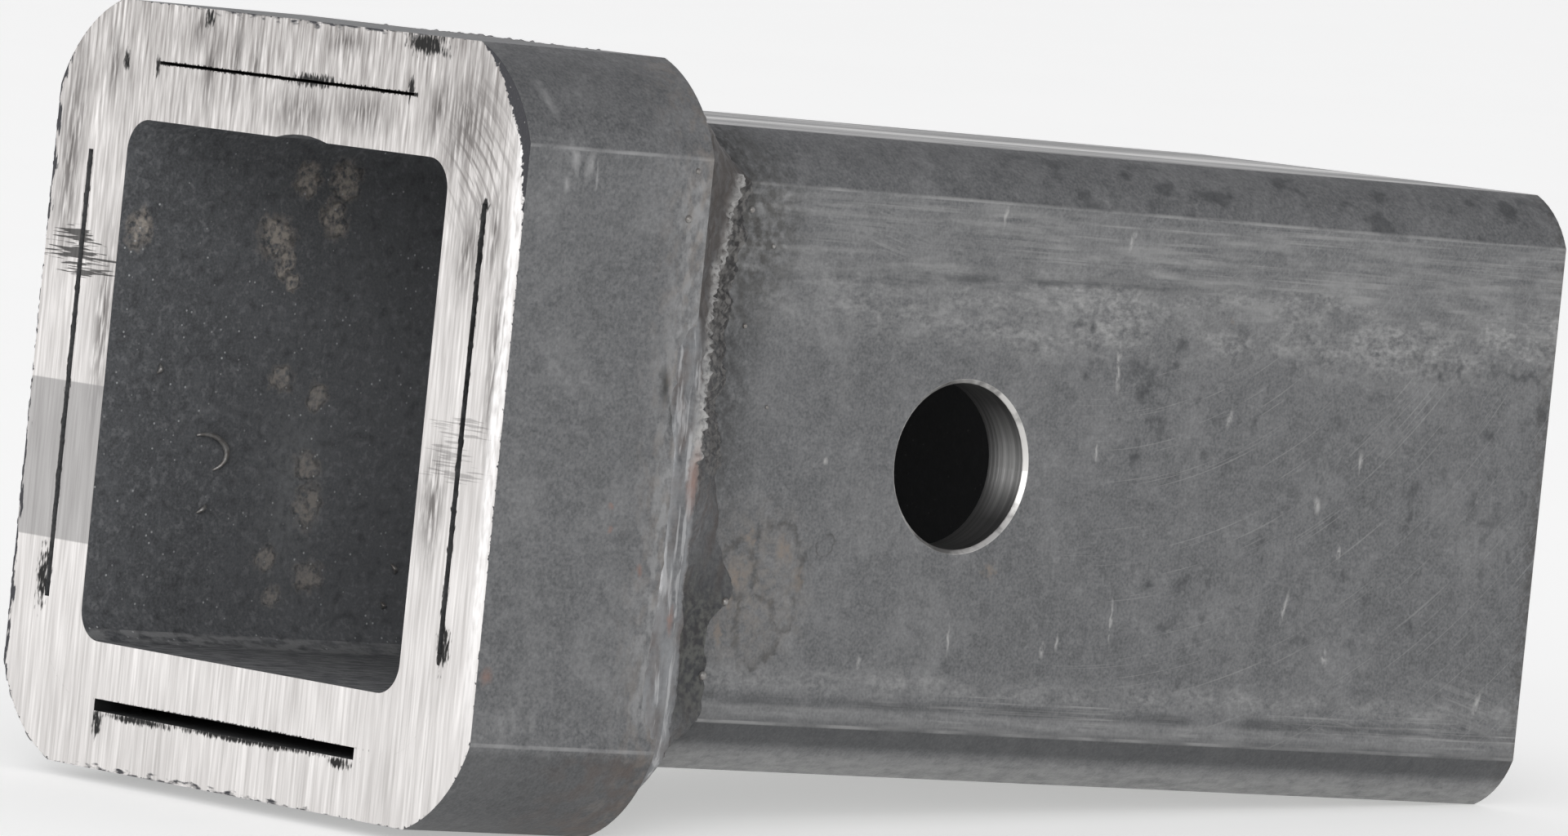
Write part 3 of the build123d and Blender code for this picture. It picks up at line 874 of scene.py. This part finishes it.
side_u = bead_stations[:, 0] + flat_share * (bead_stations[:, 1] + 1) / 2
station_u = np.concatenate([side_u, corner_u])
station_rows = np.concatenate([bead_stations[:, 2:], corner_rows])
order = np.argsort(station_u)
toe, rise, lap, hollow, crest_width = (
    np.interp(u, station_u[order], column, period=4.0)[:, None] for column in station_rows[order].T
)
print("toe, mm along the tube:", toe.min().round(1), "to", toe.max().round(1))

# %% [markdown]
# The section starts with the crest, flat or nearly so, and then drops to the toe as a superellipse:
# with an exponent of 2 it is the straight face of a mitre fillet, under 2 it bulges, over 2 it is
# hollow. Ahead of the crest a quarter ellipse laps over the collar's edge, and behind the toe the
# surface turns under and comes back inside the steel, so that the bead is one closed ring.
# Solidification ripples, grain and the join of two passes are then added along the section's
# normal, as sums of waves with fixed random phases.

# %% Section of the bead
def waves(along, over, shortest, longest, count, seed):
    """Sum of count sine waves in random directions, wavelengths in mm, scaled to about -1 to 1."""
    draw = np.random.default_rng(seed)
    length = np.exp(draw.uniform(np.log(shortest), np.log(longest), count))
    heading, phase = draw.uniform(0, 2 * np.pi, (2, count))
    total = np.zeros(np.broadcast_shapes(along.shape, over.shape))
    for size, turn, start in zip(length, heading, phase):
        total += np.sin(2 * np.pi * (along * np.cos(turn) + over * np.sin(turn)) / size + start)
    return total / np.sqrt(count)


toe = toe + 0.38 * waves(along_bead[:, None], 0 * toe, 1.8, 8.0, 20, 13)
crest_share = 0.14
v_lap = np.linspace(0, 1, 9)[:-1]
v_face = np.linspace(0, 1, face_rows)
v_under = np.linspace(0, 1, 8)[1:-1]
outward = on_collar - on_tube
wall = np.linalg.norm(outward, axis=1)[:, None]
outward = outward / wall
crest = wall + rise

lap_out = crest - (1 - np.sin(v_lap * np.pi / 2)) * (rise + 0.25).clip(0.05)
lap_back = -lap * np.cos(v_lap * np.pi / 2)
on_crest = np.clip(v_face / crest_share, 0, 1)
drop = np.clip((v_face - crest_share) / (1 - crest_share), 0, 1) * np.pi / 2
crest_fall = 0.25 * crest_width * on_crest**2 * np.cos(drop) / 2.7
face_out = crest * np.cos(drop) ** hollow - crest_fall
face_back = crest_width * on_crest + (toe - crest_width) * np.sin(drop) ** hollow
print("section points: lap", len(v_lap), "face", len(v_face), "under", len(v_under))

# %% Ripples, grain and the join of the two passes
s = along_bead[:, None]
t = face_back
on_right = (u < flat_share)[:, None] * np.ones_like(t)
share_up = (2 * np.clip(u, 0, flat_share) / flat_share - 1)[:, None]
pitch, bow = 1.55, 4.2
pitch_phase = s + 0.55 * (t - bow) ** 2 / bow + 0.5 * waves(s, t, 6, 20, 8, 3)
ripple = 0.5 + 0.5 * np.cos(2 * np.pi * pitch_phase / pitch)
body = np.sin(np.pi * v_face) ** 0.6
grain_waves = waves(s, t, 0.5, 1.3, 70, 5)
lump_waves = waves(s, t, 2.2, 7.0, 40, 7)
join_stations = [-0.1, 0.23, 0.58, 0.75, 1.0], [1.0, 1.6, 3.4, 5.2, 7.0]
join_back = np.interp(share_up[:, 0], *join_stations)[:, None]
join_back = join_back + 0.25 * waves(s, 0 * s, 1.5, 7.0, 16, 17)
past_join = (t - join_back) / 0.8
join = on_right * np.clip((share_up + 0.1) / 0.1, 0, 1) * np.exp(-past_join**2)
fringe = on_right * np.clip((share_up + 0.2) / 0.2, 0, 1) * np.clip(past_join, 0, 1)
ripple_depth = np.interp(u, [0, 0.8, 1.1, 3.8, 4], [0.1, 0.1, 0.42, 0.42, 0.1])[:, None]
relief = (
    body * (ripple_depth * (ripple - 0.5) + 0.17 * lump_waves + 0.06 * grain_waves) * (1 - fringe)
    + join * (0.36 + 0.24 * grain_waves) + fringe * (0.16 * grain_waves + 0.1 * lump_waves - 0.2)
)
print("relief on the face, mm:", relief.min().round(2), "to", relief.max().round(2))

# %% The closed ring, as one mesh
def section_normals(out, back):
    """Unit normals of a section, a quarter turn from its tangent: (back step, minus out step)."""
    step_out, step_back = np.gradient(out, axis=1), np.gradient(back, axis=1)
    size = np.hypot(step_out, step_back).clip(1e-6)
    return step_back / size, -step_out / size


normal_out, normal_back = section_normals(face_out, face_back)
face_out = face_out + normal_out * relief
face_back = np.maximum(face_back + normal_back * relief, 0.0 - lap)
at_toe = np.clip((v_face - 0.9) / 0.1, 0, 1)
face_out = np.maximum(face_out, 0.06 * (1 - at_toe) - 0.2 * at_toe**4)
lap_waves = 0.08 * waves(s, v_lap[None, :] * 2, 1.2, 5.0, 30, 11) * np.sin(np.pi * v_lap / 2)
lap_out = lap_out + lap_waves * (rise > -0.2)
under_out = (-0.6 - 0.4 * v_under) + 0 * toe
under_back = toe * (1 - v_under) * 0.98
bead_out = np.concatenate([lap_out, face_out, under_out, crest * 0.35], 1)
bead_back = np.concatenate([lap_back, face_back, under_back, 0 * toe - 0.6 - lap * 0.2], 1)

box_low, box_high = (1000 * np.array(corner) for corner in cad_box)


def carried(path, outward, out, back):
    """A section carried round a path, in mm: path + out * outward in x and z, back in y, in the box."""
    flat = path[:, None] + outward[:, None] * out[..., None]
    points = np.stack([flat[..., 0], np.broadcast_to(back, out.shape), flat[..., 1]], -1)
    return np.clip(points, box_low + 0.01, box_high - 0.01)


def new_piece(name, points, faces):
    """One smooth mesh from points in mm and their faces, as an object of that name."""
    mesh = bpy.data.meshes.new(name)
    mesh.from_pydata((points.reshape(-1, 3) / 1000).tolist(), [], faces)
    mesh.polygons.foreach_set("use_smooth", np.ones(len(faces), bool))
    mesh.update()
    piece = bpy.data.objects.new(name, mesh)
    bpy.context.scene.collection.objects.link(piece)
    return piece


def grid_mesh(name, points, close_u=True, close_v=True, **attributes):
    """One piece from a grid of points: quads between neighbours, wrapping round where it closes."""
    count_u, count_v = points.shape[:2]
    at_u = np.arange(count_u if close_u else count_u - 1)[:, None]
    at_v = np.arange(count_v if close_v else count_v - 1)[None, :]
    next_u, next_v = (at_u + 1) % count_u, (at_v + 1) % count_v
    corners = ((at_u, at_v), (at_u, next_v), (next_u, next_v), (next_u, at_v))
    quads = np.stack([row * count_v + column for row, column in corners], -1).reshape(-1, 4)
    piece = new_piece(name, points, quads.tolist())
    for title, values in attributes.items():
        kept = piece.data.attributes.new(title, "FLOAT", "POINT")
        kept.data.foreach_set("value", values.astype(np.float32).ravel())
    return piece


def on_face(values):
    """Values on the face, with zeros on the lap before it and on the hidden rows after it."""
    return np.pad(values, ((0, 0), (len(v_lap), len(v_under) + 1)))


ring = carried(on_tube, outward, bead_out, collar_length + bead_back)
across_rows = np.concatenate([v_lap - 1, v_face, 1 + 0 * v_under, [-1.0]])
rear_weld = grid_mesh(
    "rear_weld_bead", ring, across=np.tile(across_rows, (rounds, 1)), join=on_face(join),
    fringe=on_face(fringe),
)
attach(rear_weld, "root")
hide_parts("rear_fillet_weld")
print("rear weld:", len(rear_weld.data.polygons), "faces, from", ring.min((0, 1)).round(2), "mm")

# %% Finish of the rear weld
weld_finish, place = new_finish("raw_weld_metal")
x, y, z = add("SeparateXYZ", (place,)).node.outputs
across_bead, on_join, on_fringe = (
    add("Attribute", out="Fac", tree=weld_finish.node_tree, attribute_name=title)
    for title in ("across", "join", "fringe")
)
clouds = mottle(place, 3, 0.3, 0.7, 3.0)
grain = mottle(place, 0.45, 0.3, 0.7, 3.0)
granules = mottle(place, 0.9, 0.42, 0.62, 4.0)
toe_dark = add("MapRange", (across_bead, 0.55, 0.95))
crest_zone = band(across_bead, -0.98, 0.1, 0.05)
# The crest is smoother and more metallic, and lightened with painted highlight streaks.
smooth_crest_and_highlight = fold("MULTIPLY", crest_zone, mottle(place, (1.5, 1.5, 7.0), 0.34, 0.62, 4.0))
crest_highlight_lines = fold("MULTIPLY", crest_zone, mottle(place, (0.8, 0.8, 8.0), 0.54, 0.62, 3.0))
lap_edge = fold(
    "MULTIPLY", band(across_bead, -1.01, -0.9, 0.04), mottle(place, (1.2, 1.2, 2.5), 0.3, 0.55, 3.0),
)
join_light = fold("MULTIPLY", on_join, mottle(place, (0.5, 0.5, 0.7), 0.26, 0.5, 4.0))
facet = fold(
    "MULTIPLY", add("MapRange", (z, 8.0, 14.0)), add("MapRange", (x, 31.2, 32.2)),
    add("MapRange", (across_bead, 0.0, 0.08)), mottle(place, (1.0, 1.0, 2.4), 0.16, 0.56, 4.0),
)
rust_marks = ((38.2, 24.0, -2.5), (1.5, 0.9, 3.6)), ((38.1, 22.9, -16.4), (0.8, 0.5, 1.7))
rust_run = spots(ragged(place, 0.8, (0.2, 0.2, 0.3)), rust_marks, 0.3, 1.2)
brown = fold("MULTIPLY", mottle(place, (1.6, 1.6, 4.0), 0.46, 0.64, 3.0), 0.5)
# Painted shade in the wide hollow low on the right, with lighter granules over it.
hollow_shade_mark = (33.0, 31.0, -19.0), (5.5, 6.8, 9.5)
painted_hollow_shade = spots(place, [hollow_shade_mark], 0.5, 1.15)
colour = coats(
    "#646567", (clouds, 0.5, "#454648"), (granules, 0.4, "#35353A"), (grain, 0.36, scale_light),
    (brown, rust_dark), (facet, 0.85, "#413B37"), (toe_dark, 0.5, "#2C2C2E"),
    (painted_hollow_shade, 0.72, "#292A2D"), (painted_hollow_shade, granules, 0.46, "#74756F"),
    (on_fringe, 0.62, "#2D2D2E"), (on_fringe, granules, 0.66, "#84827F"), (smooth_crest_and_highlight, 0.6, "#989A9C"),
    (crest_highlight_lines, 0.5, "#C4C4C5"), (lap_edge, 0.6, "#2C2B2A"), (join_light, 0.95, "#B4B3B1"),
    (rust_run, 0.72, rust_pink),
)
metallic = coats(0.4, (smooth_crest_and_highlight, 0.6), (toe_dark, 0.1), (rust_run, 0.0))
roughness = coats(0.5, (grain, 0.6), (smooth_crest_and_highlight, 0.44), (toe_dark, 0.75))
close_finish(colour, metallic, roughness, fold("ADD", grain, clouds), 0.03)
rear_weld.data.materials.append(weld_finish)
print("weld finish:", len(weld_finish.node_tree.nodes), "nodes")

# %% [markdown]
# ## Burr, spatter and swarf
# Three small things show how the part was made. The belt pushed a ragged burr over the mouth's left
# edge, welding threw a few droplets on the tube, and drilling left a curled chip and some slivers
# inside. A bump map would vanish at an outline, so each is a surface. The burr is a closed ring
# round the whole outline whose height dips under the steel wherever there is no burr. Droplets and
# chips are strands: rings carried along a short path, thick in the middle and closed at both ends.

# %% Burr along the mouth's left edge
burr_rounds, burr_sides = 1600, 10
burr_turns = np.arange(burr_rounds) * 4 / burr_rounds
burr_line = rolled_outline(burr_turns, *collar_section) - [0, collar_drop]
burr_out = burr_line + [0, collar_drop]
burr_out = burr_out / np.linalg.norm(burr_out, axis=1)[:, None]
burr_along = np.cumsum(np.linalg.norm(np.roll(burr_line, -1, 0) - burr_line, axis=1))[:, None]
burr_zone = np.interp(burr_turns, [1.9, 2.05, 2.95, 3.05], [0, 1, 1, 0])[:, None]
teeth = np.clip(0.5 + 0.9 * waves(burr_along, 0 * burr_along, 0.7, 5.0, 40, 19), 0, 1)
burr_height = 0.4 * teeth * burr_zone - 0.06
section_turn = np.arange(burr_sides) * 2 * np.pi / burr_sides
section_out = -0.14 + (burr_height + 0.14) * (0.5 + 0.5 * np.cos(section_turn))
section_back = 0.34 + 0.32 * np.sin(section_turn)
burr = grid_mesh("mouth_edge_burr", carried(burr_line, burr_out, section_out, section_back))
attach(burr, "root")
burr_finish, place = new_finish("torn_ground_steel")
colour, roughness, grain, mottling = mill_scale(place)
colour = coats(colour, (0.7, "#2E2E30"), (mottling, 0.35, scale_light))
close_finish(colour, 0.5, roughness, grain, 0.02)
burr.data.materials.append(burr_finish)
print("burr stands out by up to", round(float(burr_height.max()), 2), "mm")


# %% Strands: rings carried along short paths
strand_sides = 12
off_wall = np.array([1.0, 0, 0])


def strand_mesh(name, paths, thickness):
    """Closed strands, each ring path + thickness * (cos a * beside + sin a * off_wall), in mm.

    Beside is the path's direction crossed with off_wall, and a fan closes each end.
    """
    count, rings = thickness.shape
    sides = strand_sides
    beside = np.cross(np.gradient(paths, axis=1), off_wall)
    beside /= np.linalg.norm(beside, axis=2, keepdims=True)
    turn = np.arange(sides)[:, None] * 2 * np.pi / sides
    around = np.cos(turn) * beside[:, :, None] + np.sin(turn) * off_wall
    points = paths[:, :, None] + thickness[..., None, None] * around
    points = np.concatenate([points.reshape(count, -1, 3), paths[:, [0, -1]]], 1)
    first = (np.arange(count) * (rings * sides + 2))[:, None, None]
    ring, corner = np.arange(rings - 1)[:, None] * sides, np.arange(sides)[None, :]
    after = (corner + 1) % sides
    quads = np.stack([ring + corner, ring + sides + corner, ring + sides + after, ring + after], -1)
    last = (rings - 1) * sides
    start_tip, end_tip = rings * sides + 0 * corner, rings * sides + 1 + 0 * corner
    fans = np.concatenate([
        np.stack([start_tip, corner, after], -1), np.stack([end_tip, last + after, last + corner], -1),
    ], 1).reshape(1, -1, 3)
    quads, fans = (quads.reshape(1, -1, 4) + first).reshape(-1, 4), (fans + first).reshape(-1, 3)
    piece = new_piece(name, points, quads.tolist() + fans.tolist())
    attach(piece, "root")
    return piece


print("a strand has", strand_sides, "sides and as many rings as its path has points")

# %% Weld spatter and drilling swarf
droplets = np.array([
    (tube_half, 33.1, -22.1, 0.46), (tube_half, 35.0, -14.7, 0.4), (tube_half, 34.0, 12.4, 0.26),
    (tube_half, 36.6, 20.4, 0.24), (tube_half, 33.4, 23.8, 0.34), (collar_half, 20.3, 22.6, 0.38),
    (collar_half, 20.9, 27.3, 0.28), (tube_half, 37.8, 4.6, 0.2),
])
along = np.linspace(-0.97, 0.97, 13)
bulge = np.sqrt(1 - along**2)
centres, radii = droplets[:, None, :3], droplets[:, 3:]
spatter_paths = centres + (along * radii)[..., None] * [0, 0.35, 1.0]
spatter = strand_mesh("weld_spatter", spatter_paths, bulge * radii)

stretch = np.linspace(0, 1, 26)
hook = np.array([(0.0, 12.1, -5.1), (0.45, 15.1, -5.8), (0.72, 15.6, -7.2), (1.0, 14.5, -8.5)])
hook_y, hook_z = (np.polyval(np.polyfit(hook[:, 0], hook[:, axis], 3), stretch) for axis in (1, 2))
sliver_ends = np.array([
    (14.1, -12.0, 13.0, -12.9), (38.3, -16.9, 38.9, -17.9), (37.5, -20.8, 37.7, -21.5),
    (6.7, 1.8, 6.4, 0.8),
])
sliver_start, sliver_end = sliver_ends[:, None, :2], sliver_ends[:, None, 2:]
sliver_yz = sliver_start + stretch[:, None] * (sliver_end - sliver_start)
swarf_yz = np.concatenate([np.stack([hook_y, hook_z], -1)[None], sliver_yz])
tapered = np.sin(np.pi * (0.04 + 0.92 * stretch)) ** 0.5
swarf_thickness = np.array([0.3, 0.22, 0.24, 0.26, 0.26])[:, None] * tapered
swarf_lift = np.array([0.5, 0.2, 0.2, 0.2, 0.2])[:, None] * np.sin(np.pi * stretch) + swarf_thickness
swarf_paths = np.concatenate([(swarf_lift + inner_wall)[..., None], swarf_yz], 2)
swarf = strand_mesh("drilling_swarf", swarf_paths, swarf_thickness)
print(len(droplets), "droplets and", len(swarf_paths), "chips")

# %% Finish of droplets and chips
chip_finish, place = new_finish("spattered_and_cut_steel")
grain = mottle(place, 0.2, 0.3, 0.7, 3.0)
burnt = mottle(place, 0.7, 0.4, 0.65, 3.0)
colour = coats("#8E8D8B", (grain, 0.4, "#BDBBB8"), (burnt, 0.45, rust_dark))
close_finish(colour, 0.6, 0.4, grain, 0.01)
spatter.data.materials.append(chip_finish)
swarf.data.materials.append(chip_finish)
print("chip finish:", len(chip_finish.node_tree.nodes), "nodes")

# %% [markdown]
# ## Floor and light
# The part lies on its collar's rear edge and the tube's rear edge, so the floor passes under both
# and tilts a little in the part's own frame. The floor is a light table, an opal sheet lit from
# below, which whitens the ground and lifts the shade under the part. The room is even and pale at
# eye level, where the ground mouth mirrors it, and darker overhead, so that the upper corners stay
# dark. One soft panel beside the camera reaches into the mouth.

# %% Pale floor under the two edges the part rests on
collar_foot, tube_foot = (collar_length, -collar_half - collar_drop), (tube_length, -tube_half)
floor_slope = (tube_foot[1] - collar_foot[1]) / (tube_foot[0] - collar_foot[0])
floor_reach = 12000.0
corners = np.array([[-1, -1], [1, -1], [1, 1], [-1, 1]]) * floor_reach
floor_points = np.column_stack([
    corners[:, 0], corners[:, 1], collar_foot[1] + (corners[:, 1] - collar_foot[0]) * floor_slope,
])[[[0, 1], [3, 2]]]
floor = grid_mesh("floor", floor_points, close_u=False, close_v=False)
floor_finish, place = new_finish("opal_light_table")
dust = mottle(place, 40, 0.2, 0.8)
pale = coats("#F4F4F3", (dust, 0.3, "#F0F0EF"))
table = add("BsdfPrincipled", {
    "Base Color": pale, "Roughness": 0.9, "Emission Color": pale, "Emission Strength": 0.42,
})
add("OutputMaterial", {"Surface": table})
floor.data.materials.append(floor_finish)
floor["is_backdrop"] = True
print("floor rises", round(math.degrees(math.atan(floor_slope)), 2), "degrees towards the tube's rear")

# %% Soft studio light
world = bpy.data.worlds.new("studio")
bpy.context.scene.world = world
world.use_nodes = True
world.node_tree.nodes.clear()
heading = add("TexCoord", out="Generated", tree=world.node_tree)
height = add("SeparateXYZ", (heading,)).node.outputs[2]
upwards = add("MapRange", (height, 0.08, 0.75))
room = coats("#FBFBFC", (upwards, "#A4A4A6"))
add("OutputWorld", {"Surface": add("Background", {"Color": room, "Strength": 1.08})})
bpy.context.scene.view_settings.view_transform = "Standard"


def soft_panel(name, place, aim_at, width, height, watts):
    """A rectangular soft light at place, facing aim_at, unseen by the camera itself."""
    panel = bpy.data.objects.new(name, bpy.data.lights.new(name, "AREA"))
    panel.data.shape = "RECTANGLE"
    panel.data.size, panel.data.size_y, panel.data.energy = width, height, watts
    facing = (Vector(aim_at) - Vector(place)).to_track_quat("-Z", "Y")
    panel.matrix_world = Matrix.Translation(place) @ facing.to_matrix().to_4x4()
    panel.visible_camera = False
    bpy.context.scene.collection.objects.link(panel)


soft_panel("fill_beside_camera", (2.3, -2.1, 0.9), (0, 0.05, 0), 1.4, 1.4, 24)
soft_panel("card_before_mouth", (-1.5, -1.2, 0.1), (0, 0, 0), 1.4, 0.9, 2.8)
print("panels:", [light.name for light in bpy.data.lights])

# %% Sizes of the CAD box and of what is seen
visual_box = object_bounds()
for name, cad, seen in zip(("low", "high"), cad_box, visual_box):
    print(
        name, "corner, mm: CAD", [round(1000 * v, 2) for v in cad], "seen",
        [round(1000 * v, 2) for v in seen],
    )
